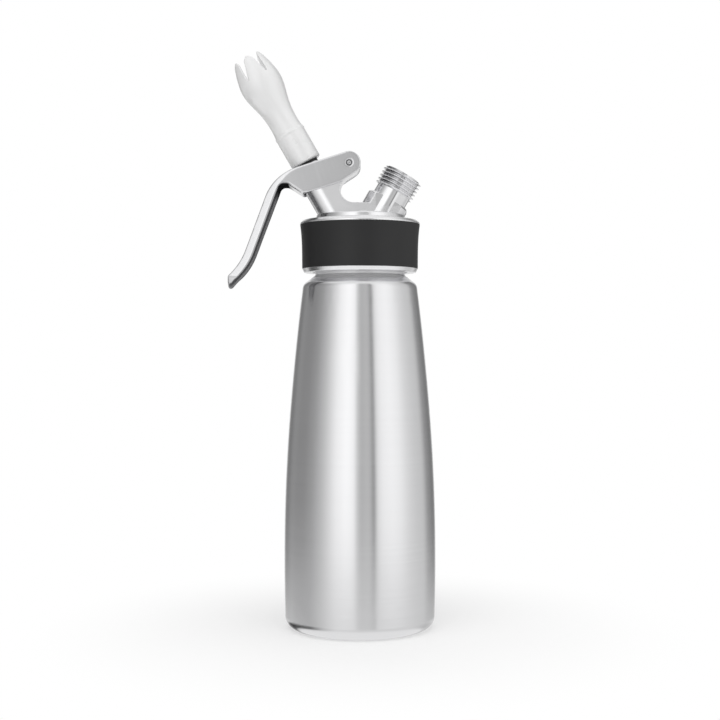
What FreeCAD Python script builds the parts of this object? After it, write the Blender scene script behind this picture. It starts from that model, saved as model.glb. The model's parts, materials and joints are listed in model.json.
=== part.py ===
import FreeCAD, Part
import math
import os

# Whipped cream dispenser: a steel bottle, a screwed head with a leaning dispensing valve,
# a fork lever and a leaning charger boss. Millimetres, +Z up, origin at the centre of the
# bottle's foot, +X towards the charger boss, the lever hangs on the -X side.

# Bottle
bottle_wall = 1.2
foot_inner_radius = 34.0
base_dish = 3.0
corner_radius = 8.0
foot_side_radius = 48.2
belly_radius = 48.7
belly_height = 40.0
flank_radius = 46.5
flank_height = 118.0
chest_radius = 42.8
chest_height = 164.5
upper_radius = 38.8
upper_height = 203.0
shoulder_radius = 36.95
shoulder_height = 218.0
shoulder_bend = 5.0
shoulder_slope = 52.0
neck_radius = 28.8
neck_fillet = 0.8
collar_rise = 13.0

# Neck ring and the screw between bottle and head
mouth_radius = 25.0
ring_height = 20.0
spigot_depth = 2.0
neck_pitch = 3.5
neck_thread_depth = 1.2
neck_turns = 2.5
neck_lead = 1.5
thread_clearance = 0.35
thread_crest = 0.5
flank_angle = 30.0

# Head
skirt_depth = 22.5
rim_bottom_radius = 36.0
rim_radius = 37.25
rim_height = 2.5
band_height = 28.2
band_waist_radius = 37.3
band_top_radius = 38.5
band_waist_height = 8.5
groove_radius = 34.8
band_swell = 2.0
rim_rounding = 0.5
flange_edge = 1.0
flange_chamfer = 1.7
flange_rounding = 0.5
flange_rim_rounding = 0.3
dome_rise = 6.5
dome_edge_rounding = 1.5
ledge_rise = 0.6
ledge_rounding = 0.8
platform_radius = 27.8
platform_draft = 0.7
platform_height = 3.2
platform_rounding = 1.2
gasket_thickness = 2.5
gasket_inner_radius = 24.6
gasket_outer_radius = 30.2
gasket_gap = 0.05
gasket_side_gap = 0.4
ceiling_rise = 2.4
ceiling_rounding = 1.5
skirt_chamfer = 1.0

# Dispensing valve, on an axis that leans towards the lever
valve_lean = -30.0
valve_foot = -6.55
tower_radius = 10.6
tower_top = 38.7
counterbore_radius = 7.6
counterbore_floor = 17.3
valve_bore_radius = 5.2
seat_face = 4.3
seat_thickness = 2.0
seat_outer_radius = 8.0
spotface_radius = 8.6
spotface_reach = 4.0
pad_wall = 1.0
bush_height = 4.0
running_clearance = 0.05
stem_radius = 4.0
stem_bore_radius = 2.2
stem_port_radius = 1.6
stem_port_height = 9.3
stem_sump = 2.4
groove_depth = 0.8
ring_height_on_stem = 14.3
disc_radius = 7.6
disc_thickness = 2.4
disc_spigot_radius = 2.5
nut_radius = 5.6
nut_height = 2.0
nut_overhang = 1.0
valve_stroke = 4.1
stroke_gap = 0.45
flange_radius = 9.6
flange_thickness = 1.8
hub_radius = 7.4
hub_height = 8.7
tip_seal_radius = 7.3
tip_seal_thickness = 1.6
stem_seat_depth = 8.1
spring_wire = 1.1
spring_radius = 6.6
spring_turns = 6.0

# Tip screw and decorator tip
stud_root_radius = 4.6
stud_height = 9.0
turned_rounding = 0.3
tip_pitch = 2.0
tip_thread_depth = 0.8
tip_thread_crest = 0.25
tip_turns = 3.0
insert_radius = 7.5
insert_height = 12.0
tip_wall = 1.4
collar_radius = 10.0
collar_height = 21.4
collar_rounding = 1.4
tip_waist_radius = 9.3
tip_waist_height = 31.0
tip_neck_radius = 10.4
tip_neck_height = 41.0
tip_belly_radius = 13.85
tip_belly_height = 57.5
tip_taper_radius = 12.4
tip_taper_height = 68.0
tip_mouth_radius = 9.5
tip_height = 77.3
tine_count = 6
tine_slot_depth = 14.8
tine_slot_angle = 26.0
tine_slot_root = 0.4
tine_point = 2.4
tine_spread = 1.9
tine_turn = 2.0

# Lever
pivot_offset = 23.1
pivot_height = 40.8
pin_radius = 2.0
pin_chamfer = 0.3
ear_radius = 6.9
fork_gap = 0.35
cheek_thickness = 1.8
lever_slope = 17.7
lever_end_radius = 7.35
cheek_height = 17.3
heel_rounding = 1.0
heel_slope = 33.4
lobe_reach = 29.6
lobe_rounding = 2.5
throat_reach = 39.1
throat_drop = 13.7
throat_rounding = 3.0
armpit_rounding = 3.5
elbow_radius = 31.0
arm_lean = 20.6
arm_reach = 46.7
arm_drop = 21.7
arm_thickness = 6.3
arm_length = 46.5
finger_length = 19.1
finger_rise = 7.6
finger_blend = 42.0
nose_rounding = 1.5
nose_thickness = 3.7
nose_blend = 5.0
nose_setback = 6.5
arm_half_width = 11.4
finger_half_width = 12.4
waist_drop = 46.0
waist_rounding = 40.0
waist_rise = 22.0
finger_flare = 9.0
flare_rounding = 6.0
front_rounding = 30.0
finger_tip_inset = 3.0
finger_tip_drop = 2.0
finger_corner = 8.0
slot_reach = 12.4
lug_radius = 2.0
lug_gap = 0.3
lug_side_gap = 0.35

# Ear and web of the head
ear_slope = 33.4
throat_radius = 8.5
web_rise = 4.4
web_inset = 1.2

# Charger boss, on an axis that leans the other way
charge_lean = 30.0
charge_foot = 4.62
boss_top = 46.8
boss_root_radius = 11.4
boss_thread_depth = 1.9
boss_pitch = 2.4
boss_thread_length = 13.2
boss_nose_radius = 11.9
boss_thread_crest = 0.3
boss_flank_angle = 22.0
boss_root_depth = 1.0
block_radius = 14.2
block_drop = 18.8
block_chamfer = 1.2
block_face = 29.8
web_end = 6.0
socket_radius = 9.6
socket_depth = 7.0
socket_seat_depth = 2.1
pocket_radius = 6.0
pocket_depth = 20.0
charger_gasket_top = 10.2
charger_gasket_thickness = 1.8
needle_radius = 1.5
needle_bore_radius = 0.5
needle_seat_depth = 6.0
needle_point_depth = 7.4
needle_point_length = 2.6
needle_hole_gap = 0.3
needle_edge = 0.15
holder_channel_radius = 0.9
holder_seal_section = 0.8
holder_seal_depth = 17.0
gas_channel_radius = 1.6
check_pocket_depth = 7.0
check_radius = 3.6
check_bore_radius = 1.0
check_flange_radius = 5.2
check_flange_thickness = 1.2
check_top_gap = 1.0
check_web = 1.0
charge_pad_radius = 7.0
charge_pad_face = 3.7
charge_pad_height = 6.0
charge_spotface_radius = 6.0

# How far cutting and joining shapes reach past the surfaces that they meet
cut_reach = 1.0
clip_reach = 0.1
thread_embed = 0.2

# Places worked out from the sizes above
collar_top = shoulder_height + collar_rise
mouth_top = collar_top + ring_height
rim_bottom = mouth_top - skirt_depth
band_bottom = rim_bottom + rim_height
flange_bottom = band_bottom + band_height
dome_start = flange_bottom + flange_edge + flange_chamfer
dome_top = dome_start + dome_rise
ceiling = mouth_top + gasket_thickness + ceiling_rise
neck_crest = neck_radius + neck_thread_depth
skirt_root = neck_crest + thread_clearance
skirt_crest = neck_radius + thread_clearance
neck_thread_top = mouth_top - neck_lead
neck_thread_bottom = neck_thread_top - neck_turns * neck_pitch
web_height = dome_top + web_rise

flange_base = tower_top + valve_stroke + stroke_gap
flange_top = flange_base + flange_thickness
hub_top = flange_top + hub_height
tip_base = hub_top + tip_seal_thickness
slab_half = tower_radius
fork_half = slab_half + fork_gap
lever_half = fork_half + cheek_thickness

X_AXIS = FreeCAD.Vector(1, 0, 0)
Y_AXIS = FreeCAD.Vector(0, 1, 0)
Z_AXIS = FreeCAD.Vector(0, 0, 1)
CENTRE = FreeCAD.Vector(0, 0, 0)


def point(x, z, y=0.0):
    return FreeCAD.Vector(x, y, z)


def heading(degrees):
    """Unit vector in the XZ plane, measured from +X towards +Z."""
    angle = math.radians(degrees)
    return point(math.cos(angle), math.sin(angle))


def meet(first, first_angle, second, second_angle):
    """Crossing point of two lines, each given by a point and a heading."""
    one = heading(first_angle)
    two = heading(second_angle)
    gap = second - first
    cross = one.x * two.z - one.z * two.x
    reach = (gap.x * two.z - gap.z * two.x) / cross
    return first + one * reach


def rounded(corners):
    """Closed face in the XZ plane; each corner is a point and its rounding radius."""
    starts = []
    edges = []
    count = len(corners)
    for index in range(count):
        corner, radius = corners[index]
        before = corners[index - 1][0]
        after = corners[(index + 1) % count][0]
        back = (before - corner).normalize()
        forth = (after - corner).normalize()
        half = back.getAngle(forth) / 2
        if radius > 0:
            setback = radius / math.tan(half)
            bisector = (back + forth).normalize()
            middle = corner + bisector * (radius / math.sin(half) - radius)
            starts.append((corner + back * setback, middle, corner + forth * setback))
        else:
            starts.append((corner, None, corner))
    for index in range(count):
        entry, middle, leave = starts[index]
        if middle:
            edges.append(Part.Arc(entry, middle, leave).toShape())
        following = starts[(index + 1) % count][0]
        if leave.distanceToPoint(following) > 1e-6:
            edges.append(Part.LineSegment(leave, following).toShape())
    return Part.Face(Part.Wire(edges))


def slab(corners, half_width):
    """Plate on both sides of the XZ plane with a rounded outline."""
    face = rounded(corners)
    face.translate(Y_AXIS * -half_width)
    return face.extrude(Y_AXIS * (2 * half_width))


def turned(corners):
    """Solid turned about Z from a rounded half outline."""
    return rounded(corners).revolve(CENTRE, Z_AXIS, 360)


def sharp(*pairs):
    return [(point(radius, height), 0) for radius, height in pairs]


def tube(inner, outer, low, high):
    """Plain ring about Z; a zero inner radius gives a full cylinder."""
    body = Part.makeCylinder(outer, high - low, point(0, low), Z_AXIS)
    if inner > 0:
        body = body.cut(Part.makeCylinder(inner, high - low, point(0, low), Z_AXIS))
    return body


def leaning(shape, lean, foot):
    """Carries a shape from its own Z axis to an axis that leans in the XZ plane."""
    placed = shape.copy()
    placed.rotate(CENTRE, Y_AXIS, lean)
    placed.translate(point(foot, mouth_top))
    return placed


def on_valve(shape):
    return leaning(shape, valve_lean, valve_foot)


def on_charger(shape):
    return leaning(shape, charge_lean, charge_foot)


def valve_point(across, along):
    """Point in the XZ plane, across and along the valve axis."""
    angle = math.radians(valve_lean)
    x = valve_foot + across * math.cos(angle) + along * math.sin(angle)
    z = mouth_top - across * math.sin(angle) + along * math.cos(angle)
    return point(x, z)


def ridge(root, crest, crest_width, pitch, low, turns, flank=flank_angle):
    """Screw ridge: a trapezium swept along a helix, standing in or out from its root."""
    side = 1 if crest > root else -1
    depth = abs(crest - root)
    spread = math.tan(math.radians(flank))
    top = crest_width / 2
    foot = top + (depth + thread_embed) * spread
    inner = root - side * thread_embed
    trapezium = Part.makePolygon([
        point(inner, low - foot),
        point(crest, low - top),
        point(crest, low + top),
        point(inner, low + foot),
        point(inner, low - foot),
    ])
    helix = Part.makeHelix(pitch, pitch * turns, inner)
    helix.translate(point(0, low))
    return Part.Wire(helix).makePipeShell([trapezium], True, True)


def bottle_outline(inset):
    """Half outline of the bottle, drawn inside the outer surface by a wall's inset."""
    slope = math.radians(shoulder_slope)
    foot_corner = foot_side_radius - corner_radius
    corner = corner_radius - inset
    diagonal = math.sqrt(0.5)
    base_centre = point(0, base_dish + inset)
    foot_inner = point(foot_inner_radius - inset, inset)
    foot_outer = point(foot_corner, inset)
    side_start = point(foot_side_radius - inset, corner_radius)
    corner_middle = point(foot_corner + corner * diagonal, corner_radius - corner * diagonal)
    wall = Part.BSplineCurve()
    wall.interpolate([
        side_start,
        point(belly_radius - inset, belly_height),
        point(flank_radius - inset, flank_height),
        point(chest_radius - inset, chest_height),
        point(upper_radius - inset, upper_height),
        point(shoulder_radius - inset, shoulder_height),
    ])
    bend_centre = point(shoulder_radius - shoulder_bend, shoulder_height)
    bend = shoulder_bend - inset
    bend_middle = bend_centre + heading(shoulder_slope / 2) * bend
    bend_end = bend_centre + heading(shoulder_slope) * bend
    outer_end = bend_centre + heading(shoulder_slope) * shoulder_bend
    run = outer_end.x - neck_radius - neck_fillet * (1 - math.cos(slope))
    run = run / math.sin(slope)
    fillet_height = outer_end.z + run * math.cos(slope) + neck_fillet * math.sin(slope)
    fillet_centre = point(neck_radius + neck_fillet, fillet_height)
    fillet = neck_fillet + inset
    fillet_start = fillet_centre + heading(180 + shoulder_slope) * fillet
    fillet_middle = fillet_centre + heading(180 + shoulder_slope / 2) * fillet
    fillet_end = fillet_centre + heading(180) * fillet
    collar_end = point(neck_radius - inset, collar_top)
    axis_end = point(0, collar_top)
    edges = [
        Part.LineSegment(base_centre, foot_inner).toShape(),
        Part.LineSegment(foot_inner, foot_outer).toShape(),
        Part.Arc(foot_outer, corner_middle, side_start).toShape(),
        wall.toShape(),
        Part.Arc(wall.EndPoint, bend_middle, bend_end).toShape(),
        Part.LineSegment(bend_end, fillet_start).toShape(),
        Part.Arc(fillet_start, fillet_middle, fillet_end).toShape(),
        Part.LineSegment(fillet_end, collar_end).toShape(),
        Part.LineSegment(collar_end, axis_end).toShape(),
        Part.LineSegment(axis_end, base_centre).toShape(),
    ]
    return Part.Face(Part.Wire(edges))


def bottle_shell():
    outer = bottle_outline(0).revolve(CENTRE, Z_AXIS, 360)
    inner = bottle_outline(bottle_wall).revolve(CENTRE, Z_AXIS, 360)
    return outer.cut(inner)


def neck_ring():
    """Mouth ring: a spigot in the bottle's collar and an outside thread for the head."""
    core = turned(sharp(
        (mouth_radius, collar_top - spigot_depth),
        (neck_radius - bottle_wall, collar_top - spigot_depth),
        (neck_radius - bottle_wall, collar_top),
        (neck_radius, collar_top),
        (neck_radius, mouth_top),
        (mouth_radius, mouth_top),
    ))
    low = neck_thread_bottom - neck_pitch
    turns = (neck_thread_top - low) / neck_pitch
    thread = ridge(neck_radius, neck_crest, thread_crest, neck_pitch, low, turns)
    lead = turned(sharp(
        (mouth_radius, low),
        (neck_radius, low),
        (neck_crest + thread_clearance / 2, low + neck_thread_depth),
        (neck_crest + thread_clearance / 2, neck_thread_top - neck_thread_depth),
        (neck_radius, neck_thread_top + thread_clearance),
        (mouth_radius, neck_thread_top + thread_clearance),
    ))
    return core.fuse(thread.common(lead))


def head_gasket():
    return tube(gasket_inner_radius, gasket_outer_radius, mouth_top, mouth_top + gasket_thickness)


def head_shell():
    """Turned part of the head: skirt, band groove, flange, dome and the hollow below."""
    recess = mouth_top + gasket_thickness + gasket_gap
    flange_radius_top = band_top_radius - flange_chamfer
    ledge = dome_start + ledge_rise
    outer = turned([
        (point(0, rim_bottom), 0),
        (point(rim_bottom_radius, rim_bottom), rim_rounding),
        (point(rim_radius, band_bottom), 0),
        (point(groove_radius, band_bottom), 0),
        (point(groove_radius, flange_bottom), 0),
        (point(band_top_radius, flange_bottom), flange_rim_rounding),
        (point(band_top_radius, flange_bottom + flange_edge), flange_rounding),
        (point(flange_radius_top, dome_start), dome_edge_rounding),
        (point(platform_radius + platform_draft, ledge), ledge_rounding),
        (point(platform_radius, ledge + platform_height), platform_rounding),
        (point(0, dome_top), 0),
    ])
    hollow = turned([
        (point(0, rim_bottom - skirt_chamfer), 0),
        (point(skirt_root + skirt_chamfer, rim_bottom - skirt_chamfer), 0),
        (point(skirt_root, rim_bottom + skirt_chamfer), 0),
        (point(skirt_root, mouth_top), 0),
        (point(gasket_outer_radius + gasket_side_gap, mouth_top), 0),
        (point(gasket_outer_radius + gasket_side_gap, recess), 0),
        (point(gasket_inner_radius - gasket_side_gap, recess), 0),
        (point(gasket_inner_radius - gasket_side_gap, ceiling), ceiling_rounding),
        (point(0, ceiling), 0),
    ])
    return outer.cut(hollow)


def skirt_thread():
    low = neck_thread_bottom
    turns = neck_turns + 1
    thread = ridge(skirt_root, skirt_crest, thread_crest, neck_pitch, low - neck_pitch / 2, turns)
    depth = skirt_root - skirt_crest
    keep = turned(sharp(
        (skirt_root + cut_reach, low - cut_reach),
        (skirt_root, low - cut_reach / 2),
        (skirt_crest - clip_reach, low + depth),
        (skirt_crest - clip_reach, neck_thread_top),
        (skirt_root + cut_reach, neck_thread_top),
    ))
    return thread.common(keep)


def lever_pivot():
    return valve_point(pivot_offset, pivot_height)


def tangent_from(start, centre, radius, side):
    """Where a line from a point touches a circle."""
    gap = centre - start
    direction = math.degrees(math.atan2(gap.z, gap.x))
    swing = math.degrees(math.asin(radius / gap.Length))
    reach = math.sqrt(gap.Length ** 2 - radius ** 2)
    return start + heading(direction + side * swing) * reach


def ear_heel():
    """Where the ear's round end runs into its straight underside."""
    return lever_pivot() + heading(ear_slope - 90) * ear_radius


def throat_corner():
    """Corner in which the ear's underside would meet the web's level top."""
    return meet(ear_heel(), ear_slope, point(0, web_height), 0)


def throat():
    """Round hollow between ear and boss, as wide as it cuts into the tower."""
    setback = throat_radius / math.tan(math.radians(ear_slope / 2))
    centre = throat_corner() + point(setback, throat_radius, -2 * slab_half)
    return Part.makeCylinder(throat_radius, 4 * slab_half, centre, Y_AXIS)


def web():
    """Upright plate that joins tower, ear and charger block above the dome."""
    pivot = lever_pivot()
    shoulder = valve_point(tower_radius - web_inset, tower_top)
    crown = tangent_from(shoulder, pivot, ear_radius, 1)
    heel = ear_heel()
    block = point(charge_foot + web_end, web_height)
    under = dome_start - cut_reach
    plate = slab([
        (shoulder, 0),
        (crown, 0),
        (heel, 0),
        (throat_corner(), throat_radius),
        (block, 0),
        (point(block.x, under), 0),
        (point(valve_point(0, counterbore_floor).x, under), 0),
        (valve_point(0, counterbore_floor), 0),
        (valve_point(0, tower_top), 0),
    ], slab_half)
    lobe = Part.makeCylinder(ear_radius, 2 * slab_half, pivot - Y_AXIS * slab_half, Y_AXIS)
    return plate.fuse(lobe)


def charger_block():
    """Foot of the charger boss: a round block trimmed flat on three sides."""
    top = boss_top - block_drop
    block = on_charger(turned(sharp(
        (0, charge_pad_face),
        (block_radius, charge_pad_face),
        (block_radius, top - block_chamfer),
        (block_radius - block_chamfer, top),
        (0, top),
    )))
    height = dome_top + block_radius * 2
    keep = Part.makeBox(
        block_face + belly_radius,
        2 * slab_half,
        height - ceiling,
        point(-belly_radius, ceiling, -slab_half),
    )
    return block.common(keep)


def charger_boss():
    """Threaded neck that the charger holder screws on."""
    crest = boss_root_radius + boss_thread_depth
    low = boss_top - boss_thread_length
    core = tube(0, boss_root_radius, charge_pad_face + boss_root_depth, boss_top)
    turns = boss_thread_length / boss_pitch
    thread = ridge(boss_root_radius, crest, boss_thread_crest, boss_pitch, low, turns,
                   boss_flank_angle)
    lead = turned(sharp(
        (0, low),
        (boss_root_radius, low - boss_pitch / 4),
        (crest + clip_reach, low + boss_thread_depth / 2),
        (crest + clip_reach, boss_top - boss_thread_depth / 2),
        (boss_nose_radius, boss_top),
        (0, boss_top),
    ))
    return on_charger(core.fuse(thread.common(lead)))


def charger_bore():
    """Everything bored in the boss: socket, pocket, gas channel and check valve pocket."""
    pocket_floor = boss_top - pocket_depth
    check_top = charge_pad_face + check_pocket_depth
    bore = turned(sharp(
        (0, charge_pad_face - charge_pad_radius),
        (charge_spotface_radius, charge_pad_face - charge_pad_radius),
        (charge_spotface_radius, charge_pad_face),
        (check_radius, charge_pad_face),
        (check_radius, check_top),
        (gas_channel_radius, check_top),
        (gas_channel_radius, pocket_floor),
        (pocket_radius, pocket_floor),
        (pocket_radius, boss_top - socket_depth - socket_seat_depth),
        (socket_radius, boss_top - socket_depth),
        (socket_radius, boss_top + cut_reach),
        (0, boss_top + cut_reach),
    ))
    return on_charger(bore)


def valve_bore():
    """Everything bored in the tower: spring counterbore, stem bore and seat recess."""
    seat_top = seat_face + seat_thickness
    clear = seat_face - valve_stroke - disc_thickness - nut_height - nut_overhang - spotface_reach
    bore = turned(sharp(
        (0, clear),
        (spotface_radius, clear),
        (spotface_radius, seat_face),
        (seat_outer_radius, seat_face),
        (seat_outer_radius, seat_top),
        (valve_bore_radius, seat_top),
        (valve_bore_radius, counterbore_floor),
        (counterbore_radius, counterbore_floor),
        (counterbore_radius, tower_top + cut_reach),
        (0, tower_top + cut_reach),
    ))
    return on_valve(bore)


def head_body():
    pad_top = counterbore_floor
    pad = on_valve(tube(0, spotface_radius + pad_wall, seat_face, pad_top))
    tower = on_valve(tube(0, tower_radius, seat_face + seat_thickness, tower_top))
    charge_pad = on_charger(tube(0, charge_pad_radius, charge_pad_face,
                               charge_pad_face + charge_pad_height))
    span = 4 * belly_radius
    above = Part.makeBox(span, span, span, point(-span / 2, ceiling + cut_reach / 2, -span / 2))
    body = head_shell()
    tower = tower.common(above).cut(throat())
    for piece in (pad, charge_pad, tower, web(), charger_block(), charger_boss()):
        body = body.fuse(piece)
    body = body.cut(valve_bore())
    body = body.cut(charger_bore())
    pivot = lever_pivot()
    hole = Part.makeCylinder(pin_radius + running_clearance, 4 * slab_half,
                             pivot - Y_AXIS * (2 * slab_half), Y_AXIS)
    body = body.cut(hole)
    return body.fuse(skirt_thread())


def heat_band():
    waist = band_bottom + band_waist_height
    curve = Part.BSplineCurve()
    curve.interpolate([
        point(rim_radius, band_bottom),
        point(band_waist_radius, waist),
        point((band_waist_radius * 2 + band_top_radius) / 3, (waist + flange_bottom) / 2 + band_swell),
        point(band_top_radius, flange_bottom),
    ])
    lower = point(groove_radius, band_bottom)
    upper = point(groove_radius, flange_bottom)
    edges = [
        Part.LineSegment(lower, curve.StartPoint).toShape(),
        curve.toShape(),
        Part.LineSegment(curve.EndPoint, upper).toShape(),
        Part.LineSegment(upper, lower).toShape(),
    ]
    return Part.Face(Part.Wire(edges)).revolve(CENTRE, Z_AXIS, 360)


def valve_seat():
    return on_valve(tube(valve_bore_radius, seat_outer_radius, seat_face, seat_face + seat_thickness))


def guide_bush():
    low = counterbore_floor
    inner = stem_radius + running_clearance
    return on_valve(tube(inner, counterbore_radius, low, low + bush_height))


def seal_ring(major, minor, height):
    ring = Part.makeTorus(major, minor)
    ring.translate(point(0, height))
    return ring


def stem_o_ring():
    inner = stem_radius - groove_depth
    outer = valve_bore_radius - running_clearance
    ring = seal_ring((inner + outer) / 2, (outer - inner) / 2, ring_height_on_stem)
    return on_valve(ring)


def valve_stem():
    """Hollow piston with side ports, a seal groove and a spigot for the disc."""
    section = (valve_bore_radius - running_clearance - stem_radius + groove_depth) / 2
    groove_half = section + running_clearance
    low_end = seat_face - disc_thickness - nut_height - nut_overhang
    bore_floor = stem_port_height - stem_sump
    top = flange_base + stem_seat_depth
    stem = turned(sharp(
        (0, low_end),
        (disc_spigot_radius, low_end),
        (disc_spigot_radius, seat_face),
        (stem_radius, seat_face),
        (stem_radius, ring_height_on_stem - groove_half),
        (stem_radius - groove_depth, ring_height_on_stem - groove_half),
        (stem_radius - groove_depth, ring_height_on_stem + groove_half),
        (stem_radius, ring_height_on_stem + groove_half),
        (stem_radius, top),
        (stem_bore_radius, top),
        (stem_bore_radius, bore_floor),
        (0, bore_floor),
    ))
    port = Part.makeCylinder(stem_port_radius, 4 * stem_radius,
                             point(0, stem_port_height, -2 * stem_radius), Y_AXIS)
    return on_valve(stem.cut(port))


def valve_disc():
    return on_valve(tube(disc_spigot_radius, disc_radius, seat_face - disc_thickness, seat_face))


def disc_nut():
    """Hexagon nut that clamps the disc."""
    top = seat_face - disc_thickness
    corners = []
    for side in range(7):
        angle = math.radians(60 * side)
        corners.append(FreeCAD.Vector(nut_radius * math.cos(angle), nut_radius * math.sin(angle), 0))
    nut = Part.Face(Part.makePolygon(corners)).extrude(Z_AXIS * nut_height)
    nut.translate(point(0, top - nut_height))
    return on_valve(nut.cut(tube(0, disc_spigot_radius, top - nut_height, top)))


def tip_adapter():
    """Flange that the lever presses, hub, and the stud that the tip screws on."""
    stud_top = tip_base + stud_height
    crest = stud_root_radius + tip_thread_depth
    stem_top = flange_base + stem_seat_depth
    core = turned([
        (point(stem_radius, flange_base), 0),
        (point(flange_radius, flange_base), turned_rounding),
        (point(flange_radius, flange_top), turned_rounding),
        (point(hub_radius, flange_top), 0),
        (point(hub_radius, hub_top), turned_rounding),
        (point(stud_root_radius, hub_top), 0),
        (point(stud_root_radius, stud_top), turned_rounding),
        (point(stem_bore_radius, stud_top), 0),
        (point(stem_bore_radius, stem_top), 0),
        (point(stem_radius, stem_top), 0),
    ])
    low = tip_base
    turns = stud_height / tip_pitch
    thread = ridge(stud_root_radius, crest, tip_thread_crest, tip_pitch, low, turns)
    lead = turned(sharp(
        (stem_bore_radius, low),
        (stud_root_radius, low),
        (crest + clip_reach, low + tip_thread_depth),
        (crest + clip_reach, stud_top - tip_thread_depth),
        (stud_root_radius, stud_top - turned_rounding),
        (stem_bore_radius, stud_top - turned_rounding),
    ))
    return on_valve(core.fuse(thread.common(lead)))


def tip_seal():
    inner = stud_root_radius + tip_thread_depth + thread_clearance
    return on_valve(tube(inner, tip_seal_radius, hub_top, tip_base))


def tip_insert():
    """Threaded steel ring moulded into the tip's collar."""
    root = stud_root_radius + tip_thread_depth + thread_clearance
    crest = stud_root_radius + thread_clearance
    start = tip_base + stud_height - tip_turns * tip_pitch
    end = tip_base + stud_height
    core = tube(root, insert_radius, tip_base, tip_base + insert_height)
    low = tip_base - tip_pitch / 2
    turns = stud_height / tip_pitch + 3 / 2
    thread = ridge(root, crest, tip_thread_crest, tip_pitch, low, turns)
    keep = turned(sharp(
        (root + cut_reach / 2, start),
        (root, start),
        (crest - clip_reach, start + tip_thread_depth),
        (crest - clip_reach, end),
        (root + cut_reach / 2, end),
    ))
    return on_valve(core.fuse(thread.common(keep)))


def tip_outline(inset, low, mouth_extra):
    """Half outline of the tulip above its collar, drawn inside by a wall's inset."""
    curve = Part.BSplineCurve()
    curve.interpolate([
        point(collar_radius - inset, collar_height),
        point(tip_waist_radius - inset, tip_waist_height),
        point(tip_neck_radius - inset, tip_neck_height),
        point(tip_belly_radius - inset, tip_belly_height),
        point(tip_taper_radius - inset, tip_taper_height),
        point(tip_mouth_radius - inset, tip_height + mouth_extra),
    ])
    bottom = point(curve.StartPoint.x, low)
    edges = [
        Part.LineSegment(point(0, low), bottom).toShape(),
        Part.LineSegment(bottom, curve.StartPoint).toShape(),
        curve.toShape(),
        Part.LineSegment(curve.EndPoint, point(0, tip_height + mouth_extra)).toShape(),
        Part.LineSegment(point(0, tip_height + mouth_extra), point(0, low)).toShape(),
    ]
    return Part.Face(Part.Wire(edges)).revolve(CENTRE, Z_AXIS, 360)


def decorator_tip():
    """Tulip tip: collar round the insert, hollow body and V-slots that leave the tines."""
    collar = turned([
        (point(0, 0), 0),
        (point(collar_radius, 0), collar_rounding),
        (point(collar_radius, collar_height), 0),
        (point(0, collar_height), 0),
    ])
    body = collar.fuse(tip_outline(0, collar_height / 2, 0))
    cavity = tip_outline(tip_wall, insert_height + tip_wall, clip_reach / 10)
    throat = stud_root_radius + tip_thread_depth + thread_clearance
    body = body.cut(cavity)
    body = body.cut(tube(0, throat, 0, insert_height + 2 * tip_wall))
    body = body.cut(tube(0, insert_radius, 0, insert_height))
    slot_bottom = tip_height - tine_slot_depth
    slot_half = tip_mouth_radius * math.tan(math.radians(tine_slot_angle / 2))
    reach = 2 * tip_belly_radius
    crown = tip_height + clip_reach
    wedge = Part.Face(Part.makePolygon([
        point(-tine_slot_root, slot_bottom),
        point(tine_slot_root, slot_bottom),
        point(slot_half, tip_height - tine_point),
        point(slot_half * tine_spread, crown),
        point(-slot_half * tine_spread, crown),
        point(-slot_half, tip_height - tine_point),
        point(-tine_slot_root, slot_bottom),
    ])).extrude(Y_AXIS * reach)
    for slot in range(tine_count):
        cutter = wedge.copy()
        cutter.rotate(CENTRE, Z_AXIS, (slot + 1 / 2) * 360 / tine_count + tine_turn)
        body = body.cut(cutter)
    body.translate(point(0, tip_base))
    return on_valve(body)


def return_spring():
    """Compression spring between the bush and the adapter's flange."""
    low = counterbore_floor + bush_height + spring_wire / 2
    high = flange_base - spring_wire / 2
    helix = Part.makeHelix((high - low) / spring_turns, high - low, spring_radius)
    helix.translate(point(0, low))
    circle = Part.Wire(Part.makeCircle(spring_wire / 2, point(spring_radius, low), Y_AXIS))
    return on_valve(Part.Wire(helix).makePipeShell([circle], True, True))


def arm_point(along, outward):
    """Point beside the lever's arm: along its underside and out from it."""
    pivot = lever_pivot()
    root = pivot + point(-arm_reach, -arm_drop)
    down = heading(270 - arm_lean)
    out = heading(180 - arm_lean)
    return root + down * along + out * outward


def lever_outline():
    pivot = lever_pivot()
    top = pivot + heading(90 + lever_slope) * lever_end_radius
    belly = pivot + heading(lever_slope - 90) * (cheek_height - lever_end_radius)
    heel = pivot + heading(heel_slope - 90) * lever_end_radius
    end = pivot + X_AXIS * lever_end_radius
    lobe = meet(belly, lever_slope, pivot - X_AXIS * lobe_reach, 90)
    throat = pivot + point(-throat_reach, -throat_drop)
    underside = arm_point(0, 0)
    arm_angle = 270 - arm_lean
    outside = arm_point(0, arm_thickness)
    finger = arm_length + finger_length
    armpit = meet(throat, 180, underside, arm_angle)
    nose_top = arm_point(finger - nose_setback, finger_rise + nose_thickness)
    return [
        (meet(top, lever_slope, end, 90), lever_end_radius),
        (meet(top, lever_slope, outside, arm_angle), elbow_radius),
        (arm_point(arm_length, arm_thickness), finger_blend),
        (nose_top, nose_blend),
        (arm_point(finger, finger_rise), nose_rounding),
        (arm_point(arm_length, 0), finger_blend),
        (armpit, armpit_rounding),
        (throat, throat_rounding),
        (lobe, lobe_rounding),
        (meet(belly, lever_slope, heel, heel_slope), heel_rounding),
        (meet(heel, heel_slope, end, 90), lever_end_radius),
    ]


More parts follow.
